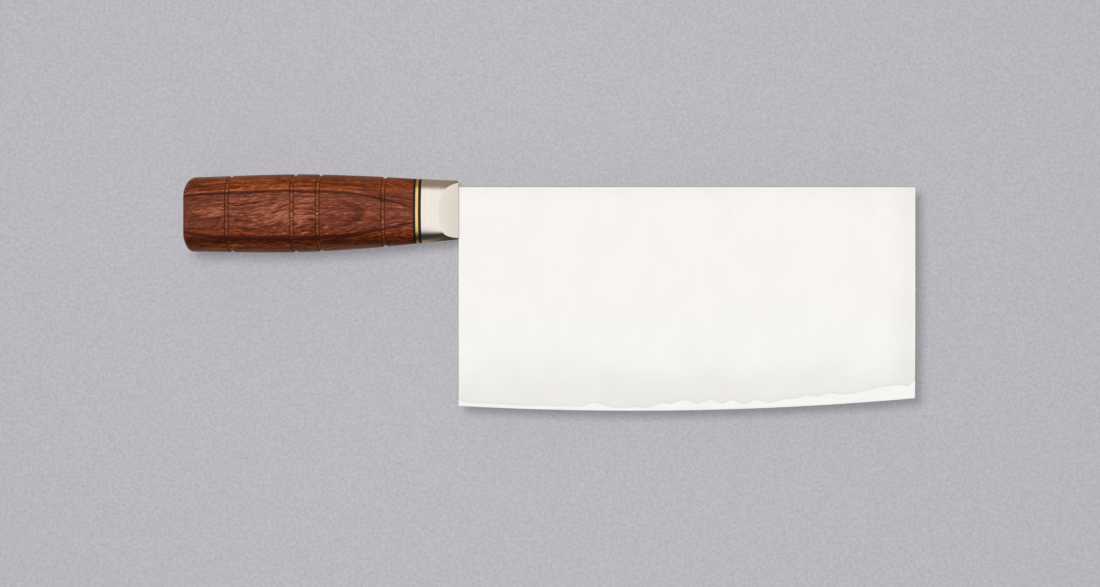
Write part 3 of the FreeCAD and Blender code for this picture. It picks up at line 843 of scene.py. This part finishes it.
class CLEAVER_OT_bolster(Operator):
    """Builds the bolster: oval, scooped on both sides and bevelled behind the spine"""
    bl_idname = "cleaver.bolster"
    bl_label = "Bolster"

    def execute(self, context):
        sizes = context.scene.cleaver_bolster
        form = HandleForm(context.scene.cleaver_handle)
        rear = BOLSTER_LOW.x
        nose_top = form.sizes.tops[-1]
        half_start = max(z for _, z in form.ring(-sizes.scoop_length))
        half_end = sizes.nose_thickness / 2
        scoop = self.hollow(-sizes.scoop_length, half_start, half_end, sizes.scoop_radius)

        def bevelled(x, y, z):
            """A point in space, lowered on the end face to bevel the corner behind the spine."""
            if x > -END_FACE:
                y = min(y, nose_top - sizes.bevel_drop)
            return Vector((x, y, z))

        def border(i):
            """Where the scoop starts to cut the outline's point of that number."""
            low, high = -sizes.scoop_length, 0.0
            if abs(form.ring(high)[i][1]) <= scoop(high):
                return high
            for _ in range(BORDER_HALVINGS):
                middle = (low + high) / 2
                if abs(form.ring(middle)[i][1]) > scoop(middle):
                    high = middle
                else:
                    low = middle
            return high

        borders = [border(i) for i in range(len(form.ring(rear)))]
        ease = sizes.collar_easing
        rings = [form.circle_at(rear + sizes.bore_depth, sizes.bore), form.circle_at(rear, sizes.bore)]
        for turn in (0, 30, 60):
            angle = math.radians(turn)
            rings.append(form.ring_at(rear + ease * (1 - math.cos(angle)), ease * (1 - math.sin(angle))))
        bevel = sizes.bevel_length
        for place in spread(rear + ease, -4 * bevel, BOLSTER_STEPS) + spread(-3 * bevel, 0, 3):
            along = (place - rear) / -rear
            ring = []
            for i, edge in enumerate(borders):
                x = rear + along * (edge - rear)
                ring.append(bevelled(x, *form.ring(x)[i]))
            rings.append(ring)
        for step in spread(0, 1, SCOOP_STEPS)[1:]:
            ring = []
            for i, edge in enumerate(borders):
                x = edge * (1 - step)
                y, z = form.ring(edge)[i]
                ring.append(bevelled(x, y, math.copysign(scoop(x), z) if edge < 0 else z))
            rings.append(ring)
        steel = bolster_finish(context.scene.cleaver_colours, sizes)
        piece("scooped_bolster", rings, True, steel, "bolster", 22)
        return {"FINISHED"}

    @staticmethod
    def hollow(start, half_start, half_end, radius):
        """The scoop's surface: half the thickness left at x, on a hollow arc between its two ends."""
        chord = Vector((-start, half_end - half_start))
        outward = Vector((-chord.y, chord.x)).normalized()
        away = math.sqrt(radius ** 2 - (chord.length / 2) ** 2)
        centre = Vector((start, half_start)) + chord / 2 + outward * away
        return lambda x: centre.y - math.sqrt(radius ** 2 - (x - centre.x) ** 2)


class CLEAVER_OT_butt_parts(Operator):
    """Finishes the nut, washer, rod and bedding, which keep their solids"""
    bl_idname = "cleaver.butt_parts"
    bl_label = "Nut, Washer, Rod and Bedding"

    def execute(self, context):
        colours = context.scene.cleaver_colours
        steel, resin = tang_finish(colours), bedding_finish(colours)
        for node, material in (("butt_nut", steel), ("butt_washer", steel), ("tang_rod", steel),
                               ("tang_bedding", resin)):
            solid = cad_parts[node]
            solid.data.materials.clear()
            solid.data.materials.append(material)
            if node in ("butt_nut", "tang_rod"):
                bevel = solid.modifiers.new("eased_edges", "BEVEL")
                bevel.width = context.scene.cleaver_handle.nut_easing
                bevel.segments = 2
                bevel.limit_method = "ANGLE"
                bevel.angle_limit = math.radians(50)
        return {"FINISHED"}


class CLEAVER_OT_stage(Operator):
    """Sets the table, the light and the camera of the photograph"""
    bl_idname = "cleaver.stage"
    bl_label = "Stage"

    def execute(self, context):
        scene = context.scene
        sizes, colours = scene.cleaver_stage, scene.cleaver_colours
        scene.view_settings.view_transform = "Standard"
        self.floor(scene, sizes, colours)
        self.light(scene, sizes)
        self.surroundings(scene, sizes, colours)
        lens = bpy.data.cameras.new("photo_camera")
        lens.lens = sizes.lens
        camera = bpy.data.objects.new("photo_camera", lens)
        camera.location = sizes.camera
        scene.collection.objects.link(camera)
        scene.camera = camera
        return {"FINISHED"}

    @staticmethod
    def floor(scene, sizes, colours):
        """A level table top under the handle's belly; steel mirrors it in the colour of the room."""
        half = sizes.floor_size / 2
        corners = ((-half, -half), (half, -half), (half, half), (-half, half))
        mesh = bpy.data.meshes.new("table_top")
        mesh.from_pydata([(x, y, WOOD_LOW.z) for x, y in corners], [], [(0, 1, 2, 3)])
        table = bpy.data.objects.new("table_top", mesh)
        scene.collection.objects.link(table)
        material = bpy.data.materials.new("pale_grey_table")
        material.use_nodes = True
        tree = material.node_tree
        place = Value(tree).node("ShaderNodeTexCoord", None, None, 3)
        speck = place.noise((800, 800, 800), 3, 0.7) * 0.96 + place.noise((90, 90, 90), 3, 0.6) * 0.04
        shade = speck.ramp(0.3, 0.7).mix(scaled(colours.floor, 0.91), scaled(colours.floor, 1.09))
        camera, glossy = place.rays()
        paper = place.node("ShaderNodeBsdfDiffuse", None, {"Color": shade})
        x, y, _ = place.xyz()
        # Steel sees the table darker under the blade and far in front: a painted shadow of the blade and
        # painted darkness beyond; near the handle it keeps the room's colour.
        beside = (x.ramp(-19 * MM, -3 * MM, 1, 0) + y.ramp(0, 10 * MM)).ramp(0, 1)
        near = y.ramp(-80 * MM, -28 * MM) * beside
        mirrored = near.mix(scaled(colours.room, 0.18), colours.room)
        glow = place.node("ShaderNodeEmission", None, {"Color": glossy.mix(shade, mirrored)})
        mixed = place.node("ShaderNodeMixShader", None, {0: camera * 0.5 + glossy, 1: paper, 2: glow})
        tree.links.new(mixed.socket, tree.nodes["Material Output"].inputs["Surface"])
        mesh.materials.append(material)

    @staticmethod
    def light(scene, sizes):
        """One soft light from the upper left, which throws the shadow but isn't mirrored in the steel."""
        lamp = bpy.data.lights.new("key_light", "AREA")
        lamp.shape, lamp.size = "DISK", sizes.key_width
        lamp.energy = math.pi ** 2 * (1 - sizes.fill - CARD_LIGHT * sizes.card) * KEY_GAIN
        lamp.use_nodes = True
        even = Value(lamp.node_tree).node("ShaderNodeLightFalloff", None, {"Strength": 1.0}, 2)
        lamp.node_tree.links.new(even.socket, lamp.node_tree.nodes["Emission"].inputs["Strength"])
        key = bpy.data.objects.new("key_light", lamp)
        key.location = sizes.key
        key.rotation_euler = (Vector(sizes.key_aim) - Vector(sizes.key)).to_track_quat("-Z", "Y").to_euler()
        key.visible_glossy = False
        scene.collection.objects.link(key)

    @staticmethod
    def surroundings(scene, sizes, colours):
        """An even fill with cards beside spine and edge; steel mirrors a white ceiling and a dim room."""
        world = bpy.data.worlds.new("studio")
        world.use_nodes = True
        scene.world = world
        tree = world.node_tree
        place = Value(tree).node("ShaderNodeTexCoord")
        x, y, _ = place.xyz()
        ceiling = y.ramp(0.68, 0.95, 1, 0) * x.ramp(0.35, 1.0, 1, 0.88)
        shade = y.ramp(-0.93, -0.42, 0.03, 1)
        room = ceiling.mix(colours.room, (1.0, 1.0, 1.0))
        camera, glossy = place.rays()
        seen = camera.mix(glossy.mix((1.0, 1.0, 1.0), room), colours.floor)
        fill = abs(y).ramp(0.4, 1.0, sizes.fill, sizes.fill + sizes.card)
        strength = camera + glossy * shade + (1 - camera - glossy) * fill
        lit = strength.mix((0.0, 0.0, 0.0), seen)
        tree.links.new(lit.socket, tree.nodes["Background"].inputs["Color"])


class CLEAVER_PT_panel(Panel):
    """Lists the steps that build the cleaver"""
    bl_label = "Cleaver"
    bl_space_type = "VIEW_3D"
    bl_region_type = "UI"
    bl_category = "Cleaver"

    def draw(self, context):
        for step in STEPS:
            self.layout.operator(step.bl_idname)
        for group in GROUPS:
            settings = getattr(context.scene, group)
            box = self.layout.box()
            for name in settings.__annotations__:
                box.prop(settings, name)


GROUPS = {
    "cleaver_blade": BladeSizes,
    "cleaver_handle": HandleSizes,
    "cleaver_bolster": BolsterSizes,
    "cleaver_colours": FinishColours,
    "cleaver_stage": StageSizes,
}
STEPS = (CLEAVER_OT_claddings, CLEAVER_OT_core, CLEAVER_OT_bolster, CLEAVER_OT_spacers, CLEAVER_OT_handle,
         CLEAVER_OT_butt_parts, CLEAVER_OT_stage)


def register():
    """Registers the classes and gives every scene the settings."""
    for group in GROUPS.values():
        bpy.utils.register_class(group)
    for name, group in GROUPS.items():
        setattr(bpy.types.Scene, name, PointerProperty(type=group))
    for step in STEPS:
        bpy.utils.register_class(step)
    bpy.utils.register_class(CLEAVER_PT_panel)


def unregister():
    """Takes settings and classes away again, in reverse."""
    bpy.utils.unregister_class(CLEAVER_PT_panel)
    for step in reversed(STEPS):
        bpy.utils.unregister_class(step)
    for name in GROUPS:
        delattr(bpy.types.Scene, name)
    for group in reversed(GROUPS.values()):
        bpy.utils.unregister_class(group)


def main():
    """Builds every piece and the stage."""
    register()
    bpy.ops.cleaver.claddings()
    bpy.ops.cleaver.core()
    bpy.ops.cleaver.bolster()
    bpy.ops.cleaver.spacers()
    bpy.ops.cleaver.handle()
    bpy.ops.cleaver.butt_parts()
    bpy.ops.cleaver.stage()


if __name__ == "__main__":
    main()
